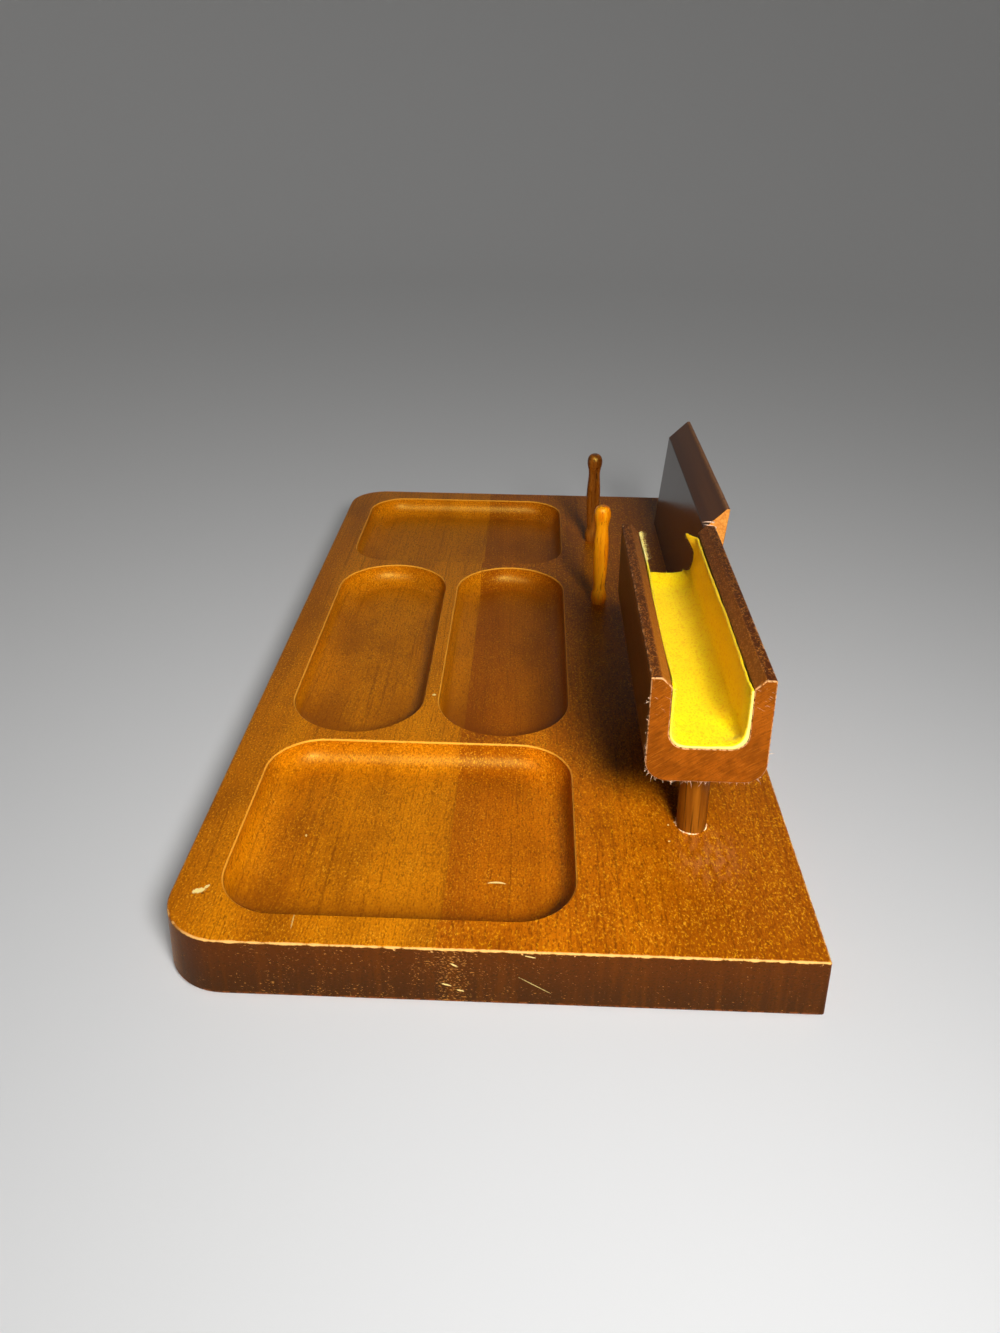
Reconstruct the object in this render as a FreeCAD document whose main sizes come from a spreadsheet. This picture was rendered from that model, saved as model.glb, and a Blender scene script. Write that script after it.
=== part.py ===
import FreeCAD, Part
import os

import Sketcher
from FreeCAD import Vector

# A wooden dresser valet. A board of two glued planks has four routed pockets, and its back strip
# carries a felt-lined eyeglass cradle on two posts, two turned pegs and a leaning wallet rest.
# Frame: X along the board, front edge at -Y, Z up, origin under the middle of the board.

doc = FreeCAD.newDocument("ValetTray")

# Driving dimensions in millimetres (rest_lean in degrees)
DRIVING_SIZES = [
    ("board_length", 364.0),
    ("board_width", 188.0),
    ("board_thickness", 19.0),
    ("front_plank_width", 79.4),
    ("front_corner_radius", 19.0),
    ("edge_round", 0.8),
    ("pad_diameter", 18.0),
    ("pad_thickness", 1.2),
    ("pad_inset", 22.0),
    ("pocket_depth", 9.2),
    ("pocket_wall", 1.2),
    ("pocket_rim_chamfer", 0.5),
    ("pocket_front_rim", 13.2),
    ("pocket_end_rim", 11.8),
    ("pocket_rib", 5.9),
    ("pocket_field_width", 106.0),
    ("dish_length", 89.0),
    ("dish_corner_radius", 18.5),
    ("cradle_length", 120.4),
    ("cradle_width", 36.4),
    ("cradle_height", 35.2),
    ("cradle_lift", 27.2),
    ("cradle_end_setback", 42.7),
    ("cradle_back_setback", 31.0),
    ("cradle_floor", 11.7),
    ("cradle_corner_radius", 6.8),
    ("cradle_edge_round", 0.5),
    ("channel_width", 23.6),
    ("channel_corner_radius", 5.2),
    ("channel_chamfer", 3.0),
    ("felt_thickness", 1.1),
    ("felt_glue_gap", 0.05),
    ("felt_drop", 0.4),
    ("post_diameter", 9.5),
    ("post_inset", 15.3),
    ("post_board_depth", 12.0),
    ("post_cradle_depth", 7.0),
    ("post_chamfer", 0.6),
    ("glue_gap", 0.1),
    ("socket_room", 0.3),
    ("peg_height", 48.0),
    ("peg_foot_diameter", 7.3),
    ("peg_neck_diameter", 5.5),
    ("peg_belly_diameter", 6.9),
    ("peg_head_diameter", 7.6),
    ("peg_tenon_diameter", 4.0),
    ("peg_tenon_length", 9.0),
    ("peg_spacing", 74.3),
    ("peg_back_setback", 52.7),
    ("rest_length", 130.5),
    ("rest_thickness", 9.7),
    ("rest_height", 58.4),
    ("rest_lean", 5.5),
    ("rest_bevel_height", 9.0),
    ("rest_top_flat", 1.5),
    ("rest_edge_round", 0.5),
    ("rest_back_setback", 7.1),
    ("rest_end_setback", 41.0),
    ("screw_length", 30.0),
    ("screw_diameter", 3.5),
    ("screw_head_diameter", 7.0),
    ("screw_head_height", 2.0),
    ("screw_point_length", 4.0),
    ("screw_sink", 0.3),
    ("screw_spacing", 86.0),
    ("screw_fit", 0.1),
    ("screw_slot_width", 1.0),
    ("screw_slot_depth", 0.9),
    ("cut_overrun", 5.0),
]

sheet = doc.addObject("Spreadsheet::Sheet", "Size")
for row, (alias, value) in enumerate(DRIVING_SIZES, start=1):
    sheet.set("A%d" % row, alias)
    sheet.set("B%d" % row, str(value))
    sheet.setAlias("B%d" % row, alias)
doc.recompute()

# Places that several pieces share, as expressions on the sheet
HALF_LENGTH = "(Size.board_length / 2)"
HALF_WIDTH = "(Size.board_width / 2)"
BOARD_TOP = "(Size.pad_thickness + Size.board_thickness)"
SEAM = "(Size.front_plank_width - %s)" % HALF_WIDTH
POCKET_FRONT = "(Size.pocket_front_rim - %s)" % HALF_WIDTH
POCKET_BACK = "(%s + Size.pocket_field_width)" % POCKET_FRONT
DISH_OUTER = "(%s - Size.pocket_end_rim)" % HALF_LENGTH
DISH_INNER = "(%s - Size.dish_length)" % DISH_OUTER
OVAL_END = "(%s - Size.pocket_rib)" % DISH_INNER
OVAL_WIDTH = "((Size.pocket_field_width - Size.pocket_rib) / 2)"
CRADLE_RIGHT = "(%s - Size.cradle_end_setback)" % HALF_LENGTH
CRADLE_LEFT = "(%s - Size.cradle_length)" % CRADLE_RIGHT
CRADLE_Y = "(%s - Size.cradle_back_setback)" % HALF_WIDTH
CRADLE_BASE = "(%s + Size.cradle_lift)" % BOARD_TOP
CHANNEL_TOP = "(Size.cradle_height - Size.channel_chamfer)"
POST_X = {
    "right": "(%s - Size.post_inset)" % CRADLE_RIGHT,
    "left": "(%s + Size.post_inset)" % CRADLE_LEFT,
}
REST_LEFT = "(Size.rest_end_setback - %s)" % HALF_LENGTH
REST_X = "(%s + Size.rest_length / 2)" % REST_LEFT
REST_BACK = "(%s - Size.rest_back_setback)" % HALF_WIDTH
REST_SLOPE = "tan(Size.rest_lean * 1 deg)"
REST_FOOT = "(Size.rest_thickness / cos(Size.rest_lean * 1 deg))"
PEG_X = {
    "right": "(%s + Size.peg_spacing / 2)" % REST_X,
    "left": "(%s - Size.peg_spacing / 2)" % REST_X,
}
PEG_Y = "(%s - Size.peg_back_setback)" % HALF_WIDTH
SCREW_X = {
    "right": "(%s + Size.screw_spacing / 2)" % REST_X,
    "left": "(%s - Size.screw_spacing / 2)" % REST_X,
}
SCREW_Y = "(%s - %s / 2)" % (REST_BACK, REST_FOOT)
SCREW_Z = "(Size.pad_thickness + Size.screw_sink)"


def number(expression):
    """The value that an expression on the sheet has now."""
    result = sheet.evalExpression(expression)
    return float(getattr(result, "Value", result))


def new_body(label, x="0", y="0", z="0"):
    """An empty body whose own origin lies at a place given by three expressions."""
    body = doc.addObject("PartDesign::Body", label)
    body.Label = label
    for axis, expression in (("x", x), ("y", y), ("z", z)):
        body.setExpression("Placement.Base." + axis, expression)
    return body


def new_sketch(body, name, role, offset="0"):
    """A sketch on one of the body's origin planes, moved along that plane's normal."""
    sketch = body.newObject("Sketcher::SketchObject", name)
    plane = next(item for item in body.Origin.OriginFeatures if item.Role == role)
    sketch.AttachmentSupport = [(plane, "")]
    sketch.MapMode = "FlatFace"
    sketch.setExpression("AttachmentOffset.Base.z", offset)
    return sketch


def bind(sketch, constraint, expression):
    """Add a constraint and tie its value to an expression."""
    index = sketch.addConstraint(constraint)
    name = "size_%d" % index
    sketch.renameConstraint(index, name)
    sketch.setExpression("Constraints." + name, expression)


def place_point(sketch, geometry, position, x, y):
    """Hold a point of the sketch at two expressions, or on an axis where one is zero."""
    if x == "0":
        sketch.addConstraint(Sketcher.Constraint("PointOnObject", geometry, position, -2))
    else:
        bind(sketch, Sketcher.Constraint("DistanceX", -1, 1, geometry, position, number(x)), x)
    if y == "0":
        sketch.addConstraint(Sketcher.Constraint("PointOnObject", geometry, position, -1))
    else:
        bind(sketch, Sketcher.Constraint("DistanceY", -1, 1, geometry, position, number(y)), y)


def outline(sketch, points):
    """A closed outline of straight lines through points given as pairs of expressions."""
    corners = [Vector(number(x), number(y), 0) for x, y in points]
    count = len(points)
    for index in range(count):
        line = Part.LineSegment(corners[index], corners[(index + 1) % count])
        sketch.addGeometry(line, False)
    for index, (x, y) in enumerate(points):
        following = (index + 1) % count
        sketch.addConstraint(Sketcher.Constraint("Coincident", index, 2, following, 1))
        place_point(sketch, index, 1, x, y)


def circle(sketch, x, y, diameter):
    """A circle whose centre and diameter are expressions."""
    shape = Part.Circle(Vector(number(x), number(y), 0), Vector(0, 0, 1), number(diameter) / 2)
    index = sketch.addGeometry(shape, False)
    place_point(sketch, index, 3, x, y)
    bind(sketch, Sketcher.Constraint("Diameter", index, number(diameter)), diameter)


def rounded_outline(sketch, left, right, low, high, radius):
    """A rectangle with four equal round corners, drawn from the low side anticlockwise."""
    x0, x1, y0, y1, r = (number(item) for item in (left, right, low, high, radius))
    lines = [
        ((x0 + r, y0), (x1 - r, y0)),
        ((x1, y0 + r), (x1, y1 - r)),
        ((x1 - r, y1), (x0 + r, y1)),
        ((x0, y1 - r), (x0, y0 + r)),
    ]
    centres = [(x1 - r, y0 + r), (x1 - r, y1 - r), (x0 + r, y1 - r), (x0 + r, y0 + r)]
    quarter = FreeCAD.Units.Quantity("90 deg").getValueAs("rad").Value
    for side in range(4):
        start, end = lines[side]
        sketch.addGeometry(Part.LineSegment(Vector(*start, 0), Vector(*end, 0)), False)
        corner = Part.Circle(Vector(*centres[side], 0), Vector(0, 0, 1), r)
        turn = (side - 1) * quarter
        sketch.addGeometry(Part.ArcOfCircle(corner, turn, turn + quarter), False)
    for side in range(4):
        line = 2 * side
        arc = line + 1
        sketch.addConstraint(Sketcher.Constraint("Tangent", line, 2, arc, 1))
        sketch.addConstraint(Sketcher.Constraint("Tangent", arc, 2, (line + 2) % 8, 1))
        direction = "Vertical" if side % 2 else "Horizontal"
        sketch.addConstraint(Sketcher.Constraint(direction, line))
        if side:
            sketch.addConstraint(Sketcher.Constraint("Equal", 1, arc))
    bind(sketch, Sketcher.Constraint("Radius", 1, r), radius)
    bind(sketch, Sketcher.Constraint("DistanceY", -1, 1, 0, 1, y0), low)
    bind(sketch, Sketcher.Constraint("DistanceX", -1, 1, 2, 1, x1), right)
    bind(sketch, Sketcher.Constraint("DistanceY", -1, 1, 4, 1, y1), high)
    bind(sketch, Sketcher.Constraint("DistanceX", -1, 1, 6, 1, x0), left)


def oblong_outline(sketch, left, right, low, high):
    """Two straight sides along X joined by full half circles."""
    x0, x1, y0, y1 = (number(item) for item in (left, right, low, high))
    r = (y1 - y0) / 2
    quarter = FreeCAD.Units.Quantity("90 deg").getValueAs("rad").Value
    right_end = Part.Circle(Vector(x1 - r, y0 + r, 0), Vector(0, 0, 1), r)
    left_end = Part.Circle(Vector(x0 + r, y0 + r, 0), Vector(0, 0, 1), r)
    sketch.addGeometry(Part.LineSegment(Vector(x0 + r, y0, 0), Vector(x1 - r, y0, 0)), False)
    sketch.addGeometry(Part.ArcOfCircle(right_end, -quarter, quarter), False)
    sketch.addGeometry(Part.LineSegment(Vector(x1 - r, y1, 0), Vector(x0 + r, y1, 0)), False)
    sketch.addGeometry(Part.ArcOfCircle(left_end, quarter, 3 * quarter), False)
    for index in range(4):
        following = (index + 1) % 4
        sketch.addConstraint(Sketcher.Constraint("Tangent", index, 2, following, 1))
    sketch.addConstraint(Sketcher.Constraint("Horizontal", 0))
    sketch.addConstraint(Sketcher.Constraint("Horizontal", 2))
    half = "((%s - %s) / 2)" % (high, low)
    bind(sketch, Sketcher.Constraint("DistanceY", -1, 1, 0, 1, y0), low)
    bind(sketch, Sketcher.Constraint("DistanceY", -1, 1, 2, 1, y1), high)
    bind(sketch, Sketcher.Constraint("DistanceX", -1, 1, 1, 3, x1 - r), "%s - %s" % (right, half))
    bind(sketch, Sketcher.Constraint("DistanceX", -1, 1, 3, 3, x0 + r), "%s + %s" % (left, half))


def pad(body, sketch, length):
    """Material added along the sketch's normal."""
    feature = body.newObject("PartDesign::Pad", sketch.Name + "_pad")
    feature.Profile = sketch
    feature.setExpression("Length", length)
    doc.recompute()
    return feature


def pocket(body, sketch, depth, upward=False):
    """Material cut away below the sketch, or above it, with proof that something was cut."""
    before = body.Shape.Volume
    feature = body.newObject("PartDesign::Pocket", sketch.Name + "_pocket")
    feature.Profile = sketch
    feature.Reversed = upward
    feature.setExpression("Length", depth)
    doc.recompute()
    if not feature.Shape.Volume < before:
        raise RuntimeError(feature.Name + " cut nothing")
    return feature


def edges_where(feature, wanted):
    """Names of the feature's edges that pass a test."""
    return ["Edge%d" % (i + 1) for i, edge in enumerate(feature.Shape.Edges) if wanted(edge)]


def round_edges(body, feature, wanted, radius):
    """A fillet on the edges that pass a test."""
    fillet = body.newObject("PartDesign::Fillet", feature.Name + "_round")
    fillet.Base = (feature, edges_where(feature, wanted))
    fillet.setExpression("Radius", radius)
    doc.recompute()
    return fillet


# Two lengths count as equal when they differ by less than this share of the smallest rounding
MATCH_SHARE = 0.0001
match_tolerance = number("Size.edge_round") * MATCH_SHARE


def near(first, second):
    """Whether two lengths agree within the tolerance for finding edges."""
    return abs(first - second) < match_tolerance


def lies_at(edge, axis, value):
    """Whether a whole edge lies at one value of x, y or z."""
    box = edge.BoundBox
    low = getattr(box, axis.upper() + "Min")
    high = getattr(box, axis.upper() + "Max")
    return near(low, value) and near(high, value)


# The board, as it is after glueing and routing: outline, round front corners, four coved pockets
board = new_body("glued_board")
board_plan = new_sketch(board, "board_plan", "XY_Plane", "Size.pad_thickness")
outline(board_plan, [
    ("-" + HALF_LENGTH, "-" + HALF_WIDTH),
    (HALF_LENGTH, "-" + HALF_WIDTH),
    (HALF_LENGTH, HALF_WIDTH),
    ("-" + HALF_LENGTH, HALF_WIDTH),
])
board_solid = pad(board, board_plan, "Size.board_thickness")
front_edge = -number(HALF_WIDTH)
back_edge = number(HALF_WIDTH)
end_edge = number(HALF_LENGTH)
bottom = number("Size.pad_thickness")
top = number(BOARD_TOP)


def is_upright(edge):
    """Whether an edge runs along Z."""
    box = edge.BoundBox
    return near(box.XLength, 0) and near(box.YLength, 0)


board_solid = round_edges(
    board, board_solid,
    lambda edge: is_upright(edge) and lies_at(edge, "y", front_edge),
    "Size.front_corner_radius")


def is_outer(edge):
    """Whether an edge belongs to the board's outside: its top and bottom outlines and back corners."""
    if is_upright(edge):
        return lies_at(edge, "y", back_edge)
    return lies_at(edge, "z", top) or lies_at(edge, "z", bottom)


board_solid = round_edges(board, board_solid, is_outer, "Size.edge_round")

pocket_floor = number(BOARD_TOP + " - Size.pocket_depth")
for side, sign in (("right", ""), ("left", "-")):
    dish_plan = new_sketch(board, "dish_" + side, "XY_Plane", BOARD_TOP)
    ends = [sign + DISH_INNER, sign + DISH_OUTER]
    ends.sort(key=number)
    rounded_outline(dish_plan, ends[0], ends[1], POCKET_FRONT, POCKET_BACK, "Size.dish_corner_radius")
    board_solid = pocket(board, dish_plan, "Size.pocket_depth")

oval_sides = {
    "front": (POCKET_FRONT, "(%s + %s)" % (POCKET_FRONT, OVAL_WIDTH)),
    "back": ("(%s - %s)" % (POCKET_BACK, OVAL_WIDTH), POCKET_BACK),
}
for side, (low, high) in oval_sides.items():
    oval_plan = new_sketch(board, "oval_" + side, "XY_Plane", BOARD_TOP)
    oblong_outline(oval_plan, "-" + OVAL_END, OVAL_END, low, high)
    board_solid = pocket(board, oval_plan, "Size.pocket_depth")

COVE_RADIUS = "(Size.pocket_depth - Size.pocket_wall)"
board_solid = round_edges(board, board_solid, lambda edge: lies_at(edge, "z", pocket_floor), COVE_RADIUS)


def is_pocket_rim(edge):
    """Whether an edge is the top rim of a pocket, clear of the board's own outline."""
    box = edge.BoundBox
    margin = number("Size.edge_round") + match_tolerance
    inside = box.XMin > -end_edge + margin and box.XMax < end_edge - margin
    inside = inside and box.YMin > front_edge + margin and box.YMax < back_edge - margin
    return inside and lies_at(edge, "z", top)


RIM_LIMIT_SHARE = 0.6
rim_ease = board.newObject("PartDesign::Chamfer", "pocket_rim_ease")
rim_ease.Base = (board_solid, edges_where(board_solid, is_pocket_rim))
rim_ease.setExpression("Size", "min(Size.pocket_rim_chamfer; Size.pocket_wall * %s)" % RIM_LIMIT_SHARE)
doc.recompute()

# Blind sockets for the posts and pegs, and countersunk screw holes under the wallet rest
post_sockets = new_sketch(board, "post_sockets", "XY_Plane", BOARD_TOP)
for side in ("right", "left"):
    circle(post_sockets, POST_X[side], CRADLE_Y, "Size.post_diameter + Size.glue_gap")
board_solid = pocket(board, post_sockets, "Size.post_board_depth")

peg_sockets = new_sketch(board, "peg_sockets", "XY_Plane", BOARD_TOP)
for side in ("right", "left"):
    circle(peg_sockets, PEG_X[side], PEG_Y, "Size.peg_tenon_diameter + Size.glue_gap")
board_solid = pocket(board, peg_sockets, "Size.peg_tenon_length + Size.socket_room")

screw_holes = new_sketch(board, "screw_holes", "XY_Plane", "Size.pad_thickness")
for side in ("right", "left"):
    circle(screw_holes, SCREW_X[side], SCREW_Y, "Size.screw_diameter + Size.screw_fit")
board_solid = pocket(board, screw_holes, "Size.board_thickness + Size.cut_overrun", upward=True)

for side in ("right", "left"):
    sink_plan = new_sketch(board, "screw_sink_" + side, "XZ_Plane", "-" + SCREW_Y)
    sink_plan.setExpression("AttachmentOffset.Base.x", SCREW_X[side])
    sink_plan.setExpression("AttachmentOffset.Base.y", "Size.pad_thickness")
    mouth = "((Size.screw_head_diameter + Size.screw_fit) / 2)"
    throat = "((Size.screw_diameter + Size.screw_fit) / 2)"
    outline(sink_plan, [
        ("0", "0"),
        (mouth, "0"),
        (mouth, "Size.screw_sink"),
        (throat, "Size.screw_sink + Size.screw_head_height"),
        ("0", "Size.screw_sink + Size.screw_head_height"),
    ])
    before = board.Shape.Volume
    sink = board.newObject("PartDesign::Groove", "screw_sink_cut_" + side)
    sink.Profile = sink_plan
    sink.ReferenceAxis = (sink_plan, ["V_Axis"])
    doc.recompute()
    if not sink.Shape.Volume < before:
        raise RuntimeError(sink.Name + " cut nothing")

# The two planks are the board's halves on either side of the glue line
for label, start, width in (
    ("base_front_plank", "-%s - Size.cut_overrun" % HALF_WIDTH, "Size.front_plank_width + Size.cut_overrun"),
    ("base_back_plank", SEAM, "Size.board_width - Size.front_plank_width + Size.cut_overrun"),
):
    strip = doc.addObject("Part::Box", label + "_strip")
    strip.setExpression("Length", "Size.board_length + 2 * Size.cut_overrun")
    strip.setExpression("Width", width)
    strip.setExpression("Height", "Size.board_thickness + 2 * Size.cut_overrun")
    strip.setExpression("Placement.Base.x", "-%s - Size.cut_overrun" % HALF_LENGTH)
    strip.setExpression("Placement.Base.y", start)
    strip.setExpression("Placement.Base.z", "Size.pad_thickness - Size.cut_overrun")
    plank = doc.addObject("Part::Common", label)
    plank.Label = label
    plank.Base = board
    plank.Tool = strip
doc.recompute()

# The eyeglass cradle: a U-shaped block, open at both ends, with two blind sockets underneath
HALF_CRADLE = "(Size.cradle_width / 2)"
HALF_CHANNEL = "(Size.channel_width / 2)"
CHAMFER_OUT = "(%s + Size.channel_chamfer)" % HALF_CHANNEL
cradle = new_body("eyeglass_cradle", CRADLE_LEFT, CRADLE_Y, CRADLE_BASE)
cradle_profile = new_sketch(cradle, "cradle_profile", "YZ_Plane")
right_half = [
    (HALF_CRADLE, "0"),
    (HALF_CRADLE, "Size.cradle_height"),
    (CHAMFER_OUT, "Size.cradle_height"),
    (HALF_CHANNEL, CHANNEL_TOP),
    (HALF_CHANNEL, "Size.cradle_floor"),
]
left_half = [("-" + y, z) for y, z in reversed(right_half)]
outline(cradle_profile, right_half + left_half)
cradle_solid = pad(cradle, cradle_profile, "Size.cradle_length")


def is_lengthwise(edge):
    """Whether an edge runs along X."""
    box = edge.BoundBox
    return near(box.YLength, 0) and near(box.ZLength, 0)


cradle_solid = round_edges(
    cradle, cradle_solid,
    lambda edge: is_lengthwise(edge) and near(edge.BoundBox.ZMax, 0),
    "Size.cradle_corner_radius")
cradle_floor = number("Size.cradle_floor")
cradle_solid = round_edges(
    cradle, cradle_solid,
    lambda edge: is_lengthwise(edge) and near(edge.BoundBox.ZMax, cradle_floor),
    "Size.channel_corner_radius")
cradle_end = number("Size.cradle_length")
cradle_top = number("Size.cradle_height")
cradle_side = number(HALF_CRADLE)


def is_cradle_corner(edge):
    """Whether an edge is one of the crisp outer ones: both end outlines and the two outer top edges."""
    outer_top = is_lengthwise(edge) and near(edge.BoundBox.ZMax, cradle_top)
    outer_top = outer_top and near(abs(edge.BoundBox.YMax), cradle_side)
    return outer_top or lies_at(edge, "x", 0) or lies_at(edge, "x", cradle_end)


cradle_solid = round_edges(cradle, cradle_solid, is_cradle_corner, "Size.cradle_edge_round")
cradle_sockets = new_sketch(cradle, "cradle_sockets", "XY_Plane")
for place in ("Size.post_inset", "Size.cradle_length - Size.post_inset"):
    circle(cradle_sockets, place, "0", "Size.post_diameter + Size.glue_gap")
cradle_solid = pocket(cradle, cradle_sockets, "Size.post_cradle_depth", upward=True)

# The felt lining: one strip bent into the channel, glued up to the foot of the chamfers
felt = new_body("cradle_felt_lining", CRADLE_LEFT, CRADLE_Y, CRADLE_BASE)
felt_profile = new_sketch(felt, "felt_profile", "YZ_Plane")
FELT_OUT = "(%s - Size.felt_glue_gap)" % HALF_CHANNEL
FELT_IN = "(%s - Size.felt_thickness)" % FELT_OUT
FELT_LOW = "(Size.cradle_floor + Size.felt_glue_gap)"
FELT_FLOOR = "(%s + Size.felt_thickness)" % FELT_LOW
FELT_TOP = "(%s - Size.felt_drop)" % CHANNEL_TOP
right_wall = [(FELT_OUT, FELT_LOW), (FELT_OUT, FELT_TOP), (FELT_IN, FELT_TOP), (FELT_IN, FELT_FLOOR)]
left_wall = [("-" + y, z) for y, z in reversed(right_wall)]
outline(felt_profile, right_wall + left_wall)
felt_solid = pad(felt, felt_profile, "Size.cradle_length")
felt_low = number(FELT_LOW)
felt_floor = number(FELT_FLOOR)
felt_solid = round_edges(
    felt, felt_solid,
    lambda edge: is_lengthwise(edge) and near(edge.BoundBox.ZMax, felt_low),
    "Size.channel_corner_radius - Size.felt_glue_gap")
felt_solid = round_edges(
    felt, felt_solid,
    lambda edge: is_lengthwise(edge) and near(edge.BoundBox.ZMax, felt_floor),
    "Size.channel_corner_radius - Size.felt_glue_gap - Size.felt_thickness")

# Two dowel posts, glued into the board and the cradle
POST_FOOT = "(%s - Size.post_board_depth + Size.socket_room)" % BOARD_TOP
POST_LENGTH = "(Size.post_board_depth + Size.cradle_lift + Size.post_cradle_depth - 2 * Size.socket_room)"
for side in ("right", "left"):
    post = new_body("cradle_post_" + side, POST_X[side], CRADLE_Y, POST_FOOT)
    post_plan = new_sketch(post, "post_plan_" + side, "XY_Plane")
    circle(post_plan, "0", "0", "Size.post_diameter")
    post_solid = pad(post, post_plan, POST_LENGTH)
    ends = post.newObject("PartDesign::Chamfer", "post_ends_" + side)
    ends.Base = (post_solid, edges_where(post_solid, lambda edge: near(edge.BoundBox.ZLength, 0)))
    ends.setExpression("Size", "Size.post_chamfer")
    doc.recompute()

# Two turned pegs: a smooth spindle through round sections, on a tenon below the board's top.
# Each station is a share of the peg's height, a diameter and a share of that diameter.
PEG_STATION_SHARES = [
    (0.0, "peg_foot_diameter", 0.78),
    (0.022, "peg_foot_diameter", 0.91),
    (0.05, "peg_foot_diameter", 0.985),
    (0.075, "peg_foot_diameter", 1.0),
    (0.115, "peg_foot_diameter", 0.90),
    (0.16, "peg_neck_diameter", 1.0),
    (0.23, "peg_neck_diameter", 1.03),
    (0.36, "peg_belly_diameter", 0.94),
    (0.50, "peg_belly_diameter", 1.0),
    (0.66, "peg_belly_diameter", 0.95),
    (0.79, "peg_neck_diameter", 1.06),
    (0.84, "peg_head_diameter", 0.84),
    (0.885, "peg_head_diameter", 0.97),
    (0.92, "peg_head_diameter", 1.0),
    (0.955, "peg_head_diameter", 0.93),
    (0.982, "peg_head_diameter", 0.75),
    (1.0, "peg_head_diameter", 0.42),
]
for side in ("right", "left"):
    peg = new_body("peg_" + side, PEG_X[side], PEG_Y, BOARD_TOP)
    tenon_plan = new_sketch(peg, "tenon_plan_" + side, "XY_Plane", "-Size.peg_tenon_length")
    circle(tenon_plan, "0", "0", "Size.peg_tenon_diameter")
    pad(peg, tenon_plan, "Size.peg_tenon_length")
    stations = []
    for index, (height_share, diameter, diameter_share) in enumerate(PEG_STATION_SHARES):
        height = "Size.peg_height * %s" % height_share
        station = new_sketch(peg, "peg_%s_station_%d" % (side, index), "XY_Plane", height)
        circle(station, "0", "0", "Size.%s * %s" % (diameter, diameter_share))
        stations.append(station)
    doc.recompute()
    spindle = peg.newObject("PartDesign::AdditiveLoft", "peg_spindle_" + side)
    spindle.Profile = stations[0]
    spindle.Sections = stations[1:]
    doc.recompute()

# The wallet rest: a leaning board with a bevelled front top edge and pilot holes in its foot
rest = new_body("wallet_rest", REST_LEFT, REST_BACK, BOARD_TOP)
rest_profile = new_sketch(rest, "rest_profile", "YZ_Plane")
BEVEL_START = "(Size.rest_height - Size.rest_bevel_height)"
outline(rest_profile, [
    ("0", "0"),
    ("Size.rest_height * " + REST_SLOPE, "Size.rest_height"),
    ("Size.rest_height * %s - Size.rest_top_flat" % REST_SLOPE, "Size.rest_height"),
    ("%s * %s - %s" % (BEVEL_START, REST_SLOPE, REST_FOOT), BEVEL_START),
    ("-" + REST_FOOT, "0"),
])
rest_solid = pad(rest, rest_profile, "Size.rest_length")
TOP_FLAT_LIMIT_SHARE = 0.45
rest_solid = round_edges(
    rest, rest_solid,
    lambda edge: not lies_at(edge, "z", 0),
    "min(Size.rest_edge_round; Size.rest_top_flat * %s)" % TOP_FLAT_LIMIT_SHARE)
SCREW_REACH = "(Size.screw_sink + Size.screw_length - Size.board_thickness)"
pilot_holes = new_sketch(rest, "pilot_holes", "XY_Plane")
for sign in ("+", "-"):
    place = "Size.rest_length / 2 %s Size.screw_spacing / 2" % sign
    circle(pilot_holes, place, "-%s / 2" % REST_FOOT, "Size.screw_diameter + Size.screw_fit")
pocket(rest, pilot_holes, SCREW_REACH + " + Size.socket_room", upward=True)

# Two slotted countersunk wood screws hold the rest from under the board
screw_bodies = []
for side in ("right", "left"):
    screw = new_body("rest_screw_" + side, SCREW_X[side], SCREW_Y, SCREW_Z)
    screw_profile = new_sketch(screw, "screw_profile_" + side, "XZ_Plane")
    outline(screw_profile, [
        ("0", "0"),
        ("Size.screw_head_diameter / 2", "0"),
        ("Size.screw_diameter / 2", "Size.screw_head_height"),
        ("Size.screw_diameter / 2", "Size.screw_length - Size.screw_point_length"),
        ("0", "Size.screw_length"),
    ])
    turned = screw.newObject("PartDesign::Revolution", "screw_turned_" + side)
    turned.Profile = screw_profile
    turned.ReferenceAxis = (screw_profile, ["V_Axis"])
    doc.recompute()
    slot_plan = new_sketch(screw, "screw_slot_" + side, "XY_Plane")
    slot_end = "(Size.screw_head_diameter / 2 + Size.cut_overrun)"
    slot_side = "(Size.screw_slot_width / 2)"
    outline(slot_plan, [
        ("-" + slot_end, "-" + slot_side),
        (slot_end, "-" + slot_side),
        (slot_end, slot_side),
        ("-" + slot_end, slot_side),
    ])
    pocket(screw, slot_plan, "Size.screw_slot_depth", upward=True)
    screw_bodies.append(screw)
rest_screws = doc.addObject("Part::Compound", "rest_screws")
rest_screws.Label = "rest_screws"
rest_screws.Links = screw_bodies

# Four felt pads under the corners of the board
PAD_X = "(%s - Size.pad_inset)" % HALF_LENGTH
PAD_Y = "(%s - Size.pad_inset)" % HALF_WIDTH
pad_bodies = []
for end, x in (("right", PAD_X), ("left", "-" + PAD_X)):
    for edge, y in (("front", "-" + PAD_Y), ("back", PAD_Y)):
        corner = "%s_%s" % (edge, end)
        foot = new_body("felt_pad_" + corner, x, y)
        foot_plan = new_sketch(foot, "pad_plan_" + corner, "XY_Plane")
        circle(foot_plan, "0", "0", "Size.pad_diameter")
        pad(foot, foot_plan, "Size.pad_thickness")
        pad_bodies.append(foot)
base_felt_pads = doc.addObject("Part::Compound", "base_felt_pads")
base_felt_pads.Label = "base_felt_pads"
base_felt_pads.Links = pad_bodies
doc.recompute()

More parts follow.
